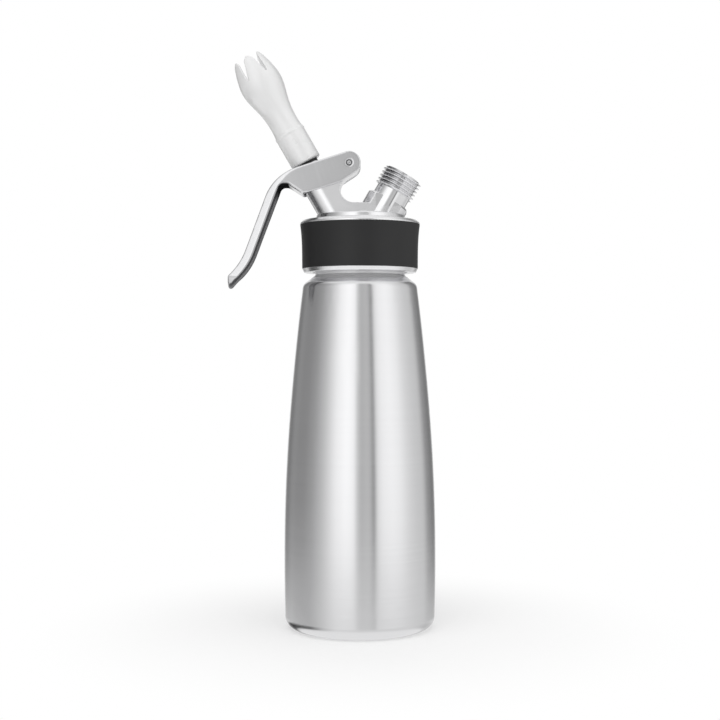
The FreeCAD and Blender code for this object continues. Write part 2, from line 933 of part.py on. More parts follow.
def lever_front():
    """Front view of the lever, as wide as the fork above and waisted along the arm."""
    pivot = lever_pivot()
    crown = pivot.z + 2 * lever_end_radius
    shoulder = pivot.z - cheek_height
    waist = pivot.z - waist_drop
    finger = arm_point(arm_length + finger_length, finger_rise)
    right = [
        (lever_half, crown, 0),
        (lever_half, shoulder, front_rounding),
        (arm_half_width, waist, waist_rounding),
        (arm_half_width, finger.z + waist_rise, front_rounding),
        (finger_half_width, finger.z + finger_flare, flare_rounding),
        (finger_half_width - finger_tip_inset, finger.z - finger_tip_drop, finger_corner),
    ]
    corners = [(point(half, height), radius) for half, height, radius in right]
    corners += [(point(-half, height), radius) for half, height, radius in reversed(right)]
    face = rounded(corners)
    face.rotate(CENTRE, Z_AXIS, 90)
    face.translate(X_AXIS * (pivot.x - 3 * arm_reach))
    return face.extrude(X_AXIS * (4 * arm_reach))


def fork_slot():
    """Space between the cheeks, closed towards the arm by a wall beside the tower."""
    low = -2 * tower_radius
    high = tip_base + 2 * tower_radius
    far = pivot_offset + 3 * lever_end_radius
    return slab([
        (valve_point(-slot_reach, low), 0),
        (valve_point(far, low), 0),
        (valve_point(far, high), 0),
        (valve_point(-slot_reach, high), 0),
    ], fork_half)


def lever():
    body = slab(lever_outline(), lever_half)
    body = body.common(lever_front())
    body = body.cut(fork_slot())
    lug_centre = valve_point(0, flange_top + lug_gap + lug_radius)
    lug_inner = hub_radius + lug_side_gap
    for side in (1, -1):
        start = lug_centre + Y_AXIS * (side * lug_inner)
        length = fork_half - lug_inner + cheek_thickness / 2
        body = body.fuse(Part.makeCylinder(lug_radius, length, start, Y_AXIS * side))
    pivot = lever_pivot()
    hole = Part.makeCylinder(pin_radius, 4 * lever_half, pivot - Y_AXIS * (2 * lever_half), Y_AXIS)
    return body.cut(hole)


def lever_pin():
    pin = turned([
        (point(0, -lever_half), 0),
        (point(pin_radius - pin_chamfer, -lever_half), 0),
        (point(pin_radius, -lever_half + pin_chamfer), 0),
        (point(pin_radius, lever_half - pin_chamfer), 0),
        (point(pin_radius - pin_chamfer, lever_half), 0),
        (point(0, lever_half), 0),
    ])
    pin.rotate(CENTRE, X_AXIS, 90)
    pin.translate(lever_pivot())
    return pin


def pin_holder():
    """Bush in the boss that carries the needle and a seal ring."""
    top = boss_top - charger_gasket_top - charger_gasket_thickness
    floor = boss_top - pocket_depth
    seal = boss_top - holder_seal_depth
    half = holder_seal_section
    inner = pocket_radius - 2 * holder_seal_section
    seat = top - needle_seat_depth
    return on_charger(turned(sharp(
        (needle_radius, top),
        (pocket_radius, top),
        (pocket_radius, seal + half),
        (inner, seal + half),
        (inner, seal - half),
        (pocket_radius, seal - half),
        (pocket_radius, floor),
        (holder_channel_radius, floor),
        (holder_channel_radius, seat),
        (needle_radius, seat),
    )))


def holder_seal():
    seal = seal_ring(pocket_radius - holder_seal_section, holder_seal_section,
                     boss_top - holder_seal_depth)
    return on_charger(seal)


def piercing_pin():
    """Hollow needle with a turned point."""
    top = boss_top - needle_point_depth
    seat = boss_top - charger_gasket_top - charger_gasket_thickness - needle_seat_depth
    return on_charger(turned(sharp(
        (needle_bore_radius, seat),
        (needle_radius, seat),
        (needle_radius, top - needle_point_length),
        (needle_bore_radius + needle_edge, top),
        (needle_bore_radius, top),
    )))


def charger_gasket():
    top = boss_top - charger_gasket_top
    low = top - charger_gasket_thickness
    return on_charger(tube(needle_radius + needle_hole_gap, pocket_radius, low, top))


def check_valve():
    """Rubber one-way valve: a closed sleeve in its pocket with a flange outside."""
    top = charge_pad_face + check_pocket_depth - check_top_gap
    low = charge_pad_face - check_flange_thickness
    return on_charger(turned(sharp(
        (check_bore_radius, low),
        (check_flange_radius, low),
        (check_flange_radius, charge_pad_face),
        (check_radius, charge_pad_face),
        (check_radius, top),
        (0, top),
        (0, top - check_web),
        (check_bore_radius, top - check_web),
    )))


PIECES = (
    bottle_shell,
    neck_ring,
    head_gasket,
    head_body,
    heat_band,
    valve_seat,
    guide_bush,
    valve_stem,
    stem_o_ring,
    valve_disc,
    disc_nut,
    return_spring,
    tip_adapter,
    tip_seal,
    tip_insert,
    decorator_tip,
    lever,
    lever_pin,
    pin_holder,
    holder_seal,
    piercing_pin,
    charger_gasket,
    check_valve,
)


def write_pieces():
    os.makedirs("parts", exist_ok=True)
    for piece in PIECES:
        shape = piece()
        if len(shape.Solids) == 1:
            shape = shape.Solids[0]
        shape.exportStep("parts/" + piece.__name__ + ".step")
        box = shape.BoundBox
        print("%-16s solids %d valid %s volume %9.1f  x %.1f..%.1f y %.1f..%.1f z %.1f..%.1f" % (
            piece.__name__, len(shape.Solids), shape.isValid(), shape.Volume,
            box.XMin, box.XMax, box.YMin, box.YMax, box.ZMin, box.ZMax))


write_pieces()
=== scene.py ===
import json
import math

import bpy
from bpy.props import FloatProperty, FloatVectorProperty, IntProperty, PointerProperty
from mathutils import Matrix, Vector
from mathutils.bvhtree import BVHTree


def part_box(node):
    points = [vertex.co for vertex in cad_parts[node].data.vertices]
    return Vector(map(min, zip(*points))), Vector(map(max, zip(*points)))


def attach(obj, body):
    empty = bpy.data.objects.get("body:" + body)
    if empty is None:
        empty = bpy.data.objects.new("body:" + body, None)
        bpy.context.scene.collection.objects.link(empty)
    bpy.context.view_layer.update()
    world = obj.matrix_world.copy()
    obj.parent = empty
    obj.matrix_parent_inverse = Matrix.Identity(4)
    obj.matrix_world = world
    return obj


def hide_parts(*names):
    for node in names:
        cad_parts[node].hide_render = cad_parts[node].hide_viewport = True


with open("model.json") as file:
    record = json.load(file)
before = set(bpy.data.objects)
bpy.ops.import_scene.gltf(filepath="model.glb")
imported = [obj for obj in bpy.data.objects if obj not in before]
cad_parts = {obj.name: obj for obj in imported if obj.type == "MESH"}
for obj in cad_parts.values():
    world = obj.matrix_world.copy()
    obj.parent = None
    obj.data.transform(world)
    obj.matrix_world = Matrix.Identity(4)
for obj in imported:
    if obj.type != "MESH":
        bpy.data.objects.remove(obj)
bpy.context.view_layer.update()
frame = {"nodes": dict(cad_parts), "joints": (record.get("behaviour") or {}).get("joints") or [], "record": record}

bl_info = {
    "name": "Whipped Cream Dispenser",
    "version": (1, 0, 0),
    "blender": (4, 5, 0),
    "location": "3D View > Sidebar > Dispenser",
    "description": "Dresses a cream dispenser: bottle, cast head, lever, band and tulip tip",
    "category": "Add Mesh",
}

JOINTS = {joint["name"]: joint for joint in frame["joints"]}
MOUNTS = {mount["name"]: mount for mount in frame["record"]["mounts"]}
PIVOT = Vector(JOINTS["lever_press"]["pos_m"])
TIP_BASE = Vector(JOINTS["tip_turn"]["pos_m"])
VALVE_UP = Vector(JOINTS["tip_turn"]["axis"]).normalized()
CHARGER_UP = Vector(MOUNTS["charger_socket"]["axis"]).normalized()
CHARGER_SOCKET = Vector(MOUNTS["charger_socket"]["pos_m"])

VALVE_LEAN = math.atan2(VALVE_UP.x, VALVE_UP.z)
CHARGER_LEAN = math.atan2(CHARGER_UP.x, CHARGER_UP.z)

# The brush lines of the lever follow the upper edge of its cheeks
LEVER_SLOPE = math.radians(17.7)

# Bottle: above this height the neck is left matt from spinning, and less like metal
MATT_COLLAR = 0.2228
MATT_COLLAR_EDGE = 0.003
MATT_COLLAR_METAL = 0.25

# Head: height of the web's foot, and where the tower's side ends and the boss's begins
WEB_HEIGHT = 0.2705
BOSS_SIDE = 0.010
BOSS_POLISH = 0.14
CAST_EDGE = 0.0004
TOWER_EDGE = 0.0014

# Charger thread: lowest turn, measured up the boss from the socket, and its radii
THREAD_LOW = -0.0092
THREAD_CREST = 0.0126
THREAD_ROOT = 0.0116
# Colour painted in the thread's valleys as their shade
THREAD_VALLEY_SHADE = (0.30, 0.30, 0.31, 1)

# Painted shade of the thread's valleys: full on the tower's side, faint on the other
VALLEY_FULL_AT = -0.009
VALLEY_FAINT_AT = 0.003
VALLEY_FAINT = 0.15

# Depth of the grain of rubber and plastic
GRAIN_DEPTH = 0.0001

# Lever's underside: painted dark reflection, painted paler between the arm's edges, and painted black shade high
# in the crook
PAINTED_DARK_REFLECTION = (0.03, 0.03, 0.032, 1)
PAINTED_PALE_REFLECTION = (0.26, 0.26, 0.265, 1)
PALE_REFLECTION_EDGE = 0.0095
PALE_REFLECTION_MIDDLE = 0.0040
PAINTED_CROOK_SHADE = (0.012, 0.012, 0.012, 1)
CROOK_HEIGHT = 0.281
CROOK_FADE = 0.009


class DispenserSizes(bpy.types.PropertyGroup):
    """Sizes of the details that are modelled here."""

    lever_grain: FloatProperty(
        name="Lever mesh size", description="Edge length of the lever's shaped mesh",
        default=0.00040, unit="LENGTH")
    flank_width: FloatProperty(
        name="Flank width", description="Width of the bright slope along the lever's outer edge",
        default=0.0043, unit="LENGTH")
    flank_depth: FloatProperty(
        name="Flank depth", description="How far the outer slope falls back at the arm's edge",
        default=0.0011, unit="LENGTH")
    under_width: FloatProperty(
        name="Underside width", description="Width of the steep slope along the arm's underside",
        default=0.0010, unit="LENGTH")
    under_depth: FloatProperty(
        name="Underside depth", description="How far the underside slope falls back at its edge",
        default=0.0009, unit="LENGTH")
    nose_length: FloatProperty(
        name="Nose length", description="Length of the finger end that is drawn to a point",
        default=0.009, unit="LENGTH")
    nose_reach: FloatProperty(
        name="Nose reach", description="How far the middle of the finger end is drawn out",
        default=0.0012, unit="LENGTH")
    nose_round: FloatProperty(
        name="Nose rounding", description="How far the finger end's corners fall back",
        default=0.0048, unit="LENGTH")
    tip_grain: FloatProperty(
        name="Tip mesh size", description="Edge length of the decorator tip's shaped mesh",
        default=0.00040, unit="LENGTH")
    collar_height: FloatProperty(
        name="Collar height", description="Height of the moulded line above the tip's base",
        default=0.0214, unit="LENGTH")
    collar_radius: FloatProperty(
        name="Collar radius", description="Outer radius of the tip's collar",
        default=0.00999, unit="LENGTH")
    bead_height: FloatProperty(
        name="Bead height", description="How far the moulded line stands out of the tip",
        default=0.00028, unit="LENGTH")
    bead_spread: FloatProperty(
        name="Bead spread", description="How far the moulded line spreads along the tip",
        default=0.0006, unit="LENGTH")
    pin_radius: FloatProperty(
        name="Pin radius", description="Radius of the lever pin", default=0.002, unit="LENGTH")
    pin_sides: IntProperty(
        name="Pin sides", description="Sides of the turned pin", default=48, min=12)


class DispenserFinishes(bpy.types.PropertyGroup):
    """Colours of the materials."""

    steel: FloatVectorProperty(
        name="Bottle steel", description="Colour of the brushed steel bottle",
        subtype="COLOR", default=(0.80, 0.80, 0.81))
    cast_steel: FloatVectorProperty(
        name="Cast steel", description="Colour of the cast head",
        subtype="COLOR", default=(0.88, 0.88, 0.89))
    lever_steel: FloatVectorProperty(
        name="Lever steel", description="Colour of the satin lever",
        subtype="COLOR", default=(0.76, 0.76, 0.77))
    # Colour painted on the lever's underside as its dark reflection
    painted_underside_shade_colour: FloatVectorProperty(
        name="Painted underside shade", description="Colour of the lever's dull underside",
        subtype="COLOR", default=(0.08, 0.08, 0.083))
    # Colour painted in the pin's grooves as their shade
    groove_shade: FloatVectorProperty(
        name="Groove", description="Colour of the dull grooves in the pin's ends",
        subtype="COLOR", default=(0.04, 0.04, 0.042))
    silicone: FloatVectorProperty(
        name="Band silicone", description="Colour of the heat band",
        subtype="COLOR", default=(0.012, 0.012, 0.0125))
    seal: FloatVectorProperty(
        name="Seal rubber", description="Colour of the black seals",
        subtype="COLOR", default=(0.02, 0.02, 0.02))
    gasket: FloatVectorProperty(
        name="Gasket silicone", description="Colour of the mouth gasket",
        subtype="COLOR", default=(0.8, 0.8, 0.77))
    bush: FloatVectorProperty(
        name="Bush plastic", description="Colour of the stem's guide bush",
        subtype="COLOR", default=(0.82, 0.82, 0.80))
    plastic: FloatVectorProperty(
        name="Tip plastic", description="Colour of the translucent tip",
        subtype="COLOR", default=(0.76, 0.76, 0.76))
    # Emission painted on the tip's inside as the light that comes through its wall
    painted_lining_glow: FloatProperty(
        name="Lining glow", description="Light that comes through the tip's wall to its inside",
        default=0.14, min=0.0)


# ---------------------------------------------------------------- shader building blocks

def add_node(tree, kind, settings=None, **inputs):
    """Adds a shader node, sets its options, and fills or links its named inputs."""
    made = tree.nodes.new(kind)
    for key, value in (settings or {}).items():
        setattr(made, key, value)
    for key, value in inputs.items():
        plug(tree, made.inputs[key.replace("_", " ")], value)
    return made


def plug(tree, socket, value):
    """Links a socket to another node's output, or gives it a fixed value."""
    if isinstance(value, bpy.types.NodeSocket):
        tree.links.new(value, socket)
    else:
        socket.default_value = value


def calculate(tree, operation, first, second=0.0):
    """Result of a sum, a product or another operation on one or two values."""
    made = add_node(tree, "ShaderNodeMath", {"operation": operation})
    plug(tree, made.inputs[0], first)
    plug(tree, made.inputs[1], second)
    return made.outputs[0]


def spread(tree, value, low, high):
    """Maps a mask from 0..1 to low..high."""
    made = add_node(tree, "ShaderNodeMapRange", Value=value, To_Min=low, To_Max=high)
    return made.outputs["Result"]


def vary(tree, mask, middle, amount):
    """Value that a mask lowers and raises by an amount."""
    return spread(tree, mask, middle - amount, middle + amount)


def smooth_step(tree, value, start, end, low=0.0, high=1.0):
    """Goes smoothly from low where the value is start to high where it is end."""
    made = add_node(tree, "ShaderNodeMapRange", {"interpolation_type": "SMOOTHSTEP"},
                    Value=value, From_Min=start, From_Max=end, To_Min=low, To_Max=high)
    return made.outputs["Result"]


def blend_colour(tree, share, first, second):
    """Colour that goes from the first to the second with a mask."""
    made = add_node(tree, "ShaderNodeMix", {"data_type": "RGBA"}, Factor=share)
    plug(tree, made.inputs[6], first)
    plug(tree, made.inputs[7], second)
    return made.outputs[2]


def tint(tree, colour, amount, mask):
    """Colour that a mask darkens and lightens a little."""
    low = [channel * (1 - amount) for channel in colour] + [1]
    high = [min(1, channel * (1 + amount)) for channel in colour] + [1]
    return blend_colour(tree, mask, low, high)


def blend_shaders(tree, share, first, second):
    """Shader that goes from the first to the second with a mask."""
    made = tree.nodes.new("ShaderNodeMixShader")
    for socket, value in zip(made.inputs, (share, first.outputs[0], second.outputs[0])):
        plug(tree, socket, value)
    return made


def distance_from_origin(tree, vector):
    """Length of a vector."""
    made = add_node(tree, "ShaderNodeVectorMath", {"operation": "LENGTH"}, Vector=vector)
    return made.outputs["Value"]


def multiply_vectors(tree, first, second):
    """Product of two vectors, axis by axis."""
    made = add_node(tree, "ShaderNodeVectorMath", {"operation": "MULTIPLY"})
    plug(tree, made.inputs[0], first)
    plug(tree, made.inputs[1], second)
    return made.outputs[0]


def shared_group(name, inputs, outputs, fill):
    """Node group that several materials use, built when it is first asked for.

    Fill gets the group's tree and its input sockets, and returns a value for each output.
    """
    if name in bpy.data.node_groups:
        return bpy.data.node_groups[name]
    tree = bpy.data.node_groups.new(name, "ShaderNodeTree")
    tree.interface.new_socket(name="Vector", in_out="INPUT", socket_type="NodeSocketVector")
    for socket, value in inputs.items():
        made = tree.interface.new_socket(name=socket, in_out="INPUT",
                                         socket_type="NodeSocketFloat")
        made.default_value = value
    for socket in outputs:
        tree.interface.new_socket(name=socket, in_out="OUTPUT", socket_type="NodeSocketFloat")
    start = tree.nodes.new("NodeGroupInput")
    end = tree.nodes.new("NodeGroupOutput")
    for socket, value in zip(outputs, fill(tree, start.outputs)):
        plug(tree, end.inputs[socket], value)
    return tree


def brush_lines_group():
    """Fine lines left by a brush: stretched noise, much finer across the lines than along."""
    fine_share = 0.6
    coarse_scale = 0.17

    def fill(tree, given):
        scale = add_node(tree, "ShaderNodeCombineXYZ", X=given["Along"], Y=given["Along"],
                         Z=given["Across"])
        stretched = multiply_vectors(tree, given["Vector"], scale.outputs[0])
        fine = add_node(tree, "ShaderNodeTexNoise", Vector=stretched, Scale=1.0, Detail=4.0,
                        Roughness=0.65).outputs["Fac"]
        coarse = add_node(tree, "ShaderNodeTexNoise", Vector=stretched, Scale=coarse_scale,
                          Detail=2.0, Roughness=0.5).outputs["Fac"]
        tone = calculate(tree, "ADD", calculate(tree, "MULTIPLY", fine, fine_share),
                         calculate(tree, "MULTIPLY", coarse, 1 - fine_share))
        return tone, fine

    return shared_group("brush_lines", {"Along": 30.0, "Across": 3000.0}, ["Tone", "Height"],
                        fill)


def handling_group():
    """Soft smudges and faint wipe marks, as a mask."""
    clean_below = 0.42
    marked_above = 0.68

    def fill(tree, given):
        cloud = add_node(tree, "ShaderNodeTexNoise", Vector=given["Vector"],
                         Scale=given["Scale"], Detail=3.0, Roughness=0.55, Distortion=0.6)
        return [smooth_step(tree, cloud.outputs["Fac"], clean_below, marked_above)]

    return shared_group("handling_marks", {"Scale": 30.0}, ["Mask"], fill)


def moulded_group():
    """Fine eroded texture of a moulded rubber or plastic skin."""
    patch_scale = 0.03

    def fill(tree, given):
        pits = add_node(tree, "ShaderNodeTexNoise", Vector=given["Vector"],
                        Scale=given["Scale"], Detail=3.0, Roughness=0.7)
        coarse = calculate(tree, "MULTIPLY", given["Scale"], patch_scale)
        patches = add_node(tree, "ShaderNodeTexNoise", Vector=given["Vector"], Scale=coarse,
                           Detail=2.0)
        return pits.outputs["Fac"], patches.outputs["Fac"]

    return shared_group("moulded_skin", {"Scale": 1500.0}, ["Height", "Tone"], fill)


def use_group(tree, group, **inputs):
    """Places a shared group in a material with its own values."""
    made = add_node(tree, "ShaderNodeGroup", {"node_tree": group}, **inputs)
    return made.outputs


def blank_material(name):
    """Material with only a Principled shader and its output."""
    material = bpy.data.materials.new(name)
    material.use_nodes = True
    tree = material.node_tree
    tree.nodes.clear()
    output = tree.nodes.new("ShaderNodeOutputMaterial")
    shader = tree.nodes.new("ShaderNodeBsdfPrincipled")
    tree.links.new(shader.outputs[0], output.inputs["Surface"])
    return material, tree, shader.inputs


def object_vector(tree, turn=(0, 0, 0), centre=(0, 0, 0)):
    """Object coordinates from a centre, turned back so that local Z runs along the piece."""
    coordinates = tree.nodes.new("ShaderNodeTexCoord")
    moved = add_node(tree, "ShaderNodeMapping", {"vector_type": "TEXTURE"},
                     Vector=coordinates.outputs["Object"], Location=centre, Rotation=turn)
    return moved.outputs[0]


def split(tree, vector):
    """The three parts of a vector, by their letters."""
    return add_node(tree, "ShaderNodeSeparateXYZ", Vector=vector).outputs


def relief(tree, height, strength, depth):
    """Bump node that raises the surface by a height."""
    return add_node(tree, "ShaderNodeBump", Height=height, Strength=strength, Distance=depth)


# ---------------------------------------------------------------- changes of finish, and painted shade and reflection

def matt_collar(tree, vector, skin, rough):
    """Bottle's neck, left matt from spinning."""
    metal = smooth_step(tree, split(tree, vector)["Z"], MATT_COLLAR,
                        MATT_COLLAR + MATT_COLLAR_EDGE, 1.0, MATT_COLLAR_METAL)
    return skin, rough, metal


def above_web(tree, vector):
    """Masks of what lies above the web's foot, and of what lies left of the threaded boss."""
    place = split(tree, vector)
    high = calculate(tree, "GREATER_THAN", place["Z"], WEB_HEIGHT)
    left = calculate(tree, "LESS_THAN", place["X"], BOSS_SIDE)
    return high, left


def painted_valley_shade(tree):
    """Mask of the shade painted in the valleys of the charger thread, deepest on the side that faces the tower."""
    vector = object_vector(tree, turn=(0, CHARGER_LEAN, 0), centre=CHARGER_SOCKET)
    away = distance_from_origin(tree, multiply_vectors(tree, vector, (1, 1, 0)))
    deep = smooth_step(tree, away, THREAD_CREST, THREAD_ROOT)
    place = split(tree, vector)
    threaded = calculate(tree, "GREATER_THAN", place["Z"], THREAD_LOW)
    turned = add_node(tree, "ShaderNodeMapRange", Value=place["X"], From_Min=VALLEY_FULL_AT,
                      From_Max=VALLEY_FAINT_AT, To_Min=1.0, To_Max=VALLEY_FAINT)
    return calculate(tree, "MULTIPLY", deep,
                     calculate(tree, "MULTIPLY", threaded, turned.outputs["Result"]))


def polished_boss(tree, vector, skin, rough):
    """Threaded boss of the head, polished more than the rest, with painted shade in its thread valleys."""
    high, left = above_web(tree, vector)
    boss = calculate(tree, "MULTIPLY", high, calculate(tree, "SUBTRACT", 1.0, left))
    valley_shade = calculate(tree, "MULTIPLY", boss, painted_valley_shade(tree))
    # Paints shade into the thread's valleys
    skin = blend_colour(tree, valley_shade, skin, THREAD_VALLEY_SHADE)
    rough = calculate(tree, "SUBTRACT", rough, calculate(tree, "MULTIPLY", boss, BOSS_POLISH))
    return skin, rough, 1.0


def cast_edges(tree, vector):
    """Rounded normals of the head's edges, rounder on the tower and the web."""
    high, left = above_web(tree, vector)
    radius = spread(tree, calculate(tree, "MULTIPLY", high, left), CAST_EDGE, TOWER_EDGE)
    return add_node(tree, "ShaderNodeBevel", {"samples": 6}, Radius=radius).outputs[0]


def painted_dark_underside(tree, _vector, skin, rough):
    """Lever's colour, painted dark as a reflection where the mesh is marked as its underside."""
    added_roughness = 0.2
    mask = add_node(tree, "ShaderNodeAttribute", {"attribute_name": "underside"}).outputs["Fac"]
    # Paints the underside dark as a reflection
    skin = blend_colour(tree, mask, skin, PAINTED_DARK_REFLECTION)
    rough = calculate(tree, "ADD", rough, calculate(tree, "MULTIPLY", mask, added_roughness))
    return skin, rough, calculate(tree, "SUBTRACT", 1.0, mask)


def painted_underside_shade(tree, vector, body):
    """Painted dark reflection of the underside, painted paler between the arm's edges, and painted black shade
    high in the crook.
    """
    place = split(tree, vector)
    across = calculate(tree, "ABSOLUTE", place["Y"])
    body = blend_colour(tree, smooth_step(tree, across, PALE_REFLECTION_EDGE, PALE_REFLECTION_MIDDLE), body, PAINTED_PALE_REFLECTION)
    crook = smooth_step(tree, place["Z"], CROOK_HEIGHT - CROOK_FADE, CROOK_HEIGHT)
    return blend_colour(tree, crook, body, PAINTED_CROOK_SHADE)


# ---------------------------------------------------------------- materials

def steel(name, colour, roughness, lines=(25.0, 2600.0), turn=(0, 0, 0), centre=(0, 0, 0),
          stretch=0.0, bump=0.02, smudge=0.05, change=None, edges=None):
    """Steel with brush lines across local Z.

    Stretch draws highlights along local Z. Change alters the colour, the roughness and the
    metal on some of the surface, and edges gives the rounded normals of the piece's edges.
    """
    roughness_variation = 0.05
    colour_variation = 0.07
    smudge_scale = 38.0
    line_depth = 0.0002
    material, tree, shader = blank_material(name)
    vector = object_vector(tree, turn, centre)
    brushed = use_group(tree, brush_lines_group(), Vector=vector, Along=lines[0],
                        Across=lines[1])
    marks = use_group(tree, handling_group(), Vector=vector, Scale=smudge_scale)
    rough = calculate(tree, "ADD",
                      vary(tree, brushed["Tone"], roughness, roughness_variation),
                      calculate(tree, "MULTIPLY", marks["Mask"], smudge))
    skin = tint(tree, colour, colour_variation, brushed["Tone"])
    metal = 1.0
    if change:
        skin, rough, metal = change(tree, vector, skin, rough)
    plug(tree, shader["Base Color"], skin)
    plug(tree, shader["Roughness"], rough)
    plug(tree, shader["Metallic"], metal)
    raised = relief(tree, brushed["Height"], bump, line_depth)
    if edges:
        plug(tree, raised.inputs["Normal"], edges(tree, vector))
    plug(tree, shader["Normal"], raised.outputs[0])
    if stretch > 0:
        tangent = add_node(tree, "ShaderNodeTangent", {"direction_type": "RADIAL", "axis": "Z"})
        plug(tree, shader["Tangent"], tangent.outputs[0])
        shader["Anisotropic"].default_value = stretch
        shader["Anisotropic Rotation"].default_value = 0.25
    return material


def moulded(name, colour, roughness, grain=1500.0, bump=0.15, gloss=0.4, change=None):
    """Moulded rubber or plastic; change alters the colour on some of the surface."""
    roughness_variation = 0.06
    colour_variation = 0.25
    material, tree, shader = blank_material(name)
    vector = object_vector(tree)
    skin = use_group(tree, moulded_group(), Vector=vector, Scale=grain)
    body = tint(tree, colour, colour_variation, skin["Tone"])
    if change:
        body = change(tree, vector, body)
    plug(tree, shader["Base Color"], body)
    plug(tree, shader["Roughness"], vary(tree, skin["Tone"], roughness, roughness_variation))
    plug(tree, shader["Normal"], relief(tree, skin["Height"], bump, GRAIN_DEPTH).outputs[0])
    shader["Specular IOR Level"].default_value = gloss
    return material


def painted_dark_skin(name, colour, change=None):
    """Coarse matt surface with no gloss, for painted dark reflection and painted shade."""
    return moulded(name, colour, 0.6, grain=2500.0, bump=0.3, gloss=0.0, change=change)


def milky_plastic(name, colour, glow=0.0):
    """Translucent polypropylene, cloudy inside and satin outside.

    Glow is emission painted on the faces turned inwards, as the light that comes through the wall.
    """
    roughness_variation = 0.05
    colour_variation = 0.02
    scatter = 0.0006
    material, tree, shader = blank_material(name)
    skin = use_group(tree, moulded_group(), Vector=object_vector(tree), Scale=900.0)
    plug(tree, shader["Base Color"], tint(tree, colour, colour_variation, skin["Tone"]))
    plug(tree, shader["Roughness"], vary(tree, skin["Tone"], 0.29, roughness_variation))
    plug(tree, shader["Normal"], relief(tree, skin["Height"], 0.05, GRAIN_DEPTH).outputs[0])
    shader["IOR"].default_value = 1.49
    shader["Specular IOR Level"].default_value = 1.0
    shader["Coat Weight"].default_value = 1.0
    shader["Coat Roughness"].default_value = 0.22
    shader["Subsurface Weight"].default_value = 0.5
    shader["Subsurface Radius"].default_value = (scatter, scatter, scatter)
    shader["Subsurface Scale"].default_value = 1.0
    shader["Emission Color"].default_value = (1.0, 1.0, 1.0, 1.0)
    shader["Emission Strength"].default_value = glow
    return material


# ---------------------------------------------------------------- mesh building blocks

def pick(piece):
    """Makes a piece the only selected and the active one."""
    bpy.ops.object.select_all(action="DESELECT")
    piece.select_set(True)
    bpy.context.view_layer.objects.active = piece


def node_copy(node, name):
    """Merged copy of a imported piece's mesh, as the start of a shaped one."""
    mesh = frame["nodes"][node].data.copy()
    mesh.materials.clear()
    mesh.name = name
    piece = bpy.data.objects.new(name, mesh)
    bpy.context.scene.collection.objects.link(piece)
    pick(piece)
    bpy.ops.object.mode_set(mode="EDIT")
    bpy.ops.mesh.select_all(action="SELECT")
    bpy.ops.mesh.remove_doubles(threshold=1e-6)
    bpy.ops.object.mode_set(mode="OBJECT")
    bpy.ops.mesh.customdata_custom_splitnormals_clear()
    return piece


def applied(piece, kind, **settings):
    """Adds a modifier with its settings to a piece and applies it."""
    pick(piece)
    modifier = piece.modifiers.new(kind.lower(), kind)
    for key, value in settings.items():
        setattr(modifier, key, value)
    bpy.ops.object.modifier_apply(modifier=modifier.name)


def remeshed(piece, size):
    """Even mesh with edges of one size, and soft edges where the piece was sharp."""
    applied(piece, "REMESH", mode="VOXEL", voxel_size=size)


def smoothed(piece, repeats, group=""):
    """Softens a mesh, or the part of it that a vertex group names."""
    applied(piece, "SMOOTH", vertex_group=group, factor=0.5, iterations=repeats)


def fitted(piece, target):
    """Lays an even mesh back on the surface that it was made from."""
    applied(piece, "SHRINKWRAP", target=target, wrap_method="NEAREST_SURFACEPOINT")


def finish_piece(piece, body, material, node):
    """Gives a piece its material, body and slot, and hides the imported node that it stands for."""
    piece.data.materials.clear()
    piece.data.materials.append(material)
    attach(piece, body)
    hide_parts(node)


def second_skin(piece, material, chosen):
    """Gives a piece a second material on the faces that a test picks."""
    piece.data.materials.append(material)
    for face in piece.data.polygons:
        face.material_index = int(chosen(face))


def paint_nodes(material, *nodes):
    """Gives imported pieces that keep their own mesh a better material."""
    for node in nodes:
        mesh = frame["nodes"][node].data
        mesh.materials.clear()
        mesh.materials.append(material)


def fade(value, start, end):
    """Smooth step from 0 at start to 1 at end, which may lie below start."""
    share = min(1.0, max(0.0, (value - start) / (end - start)))
    return share * share * (3 - 2 * share)


def around_tip(place):
    """How far a place lies along the tip, and its offset from the tip's axis."""
    offset = place - TIP_BASE
    along = offset.dot(VALVE_UP)
    return along, offset - VALVE_UP * along


# ---------------------------------------------------------------- operators

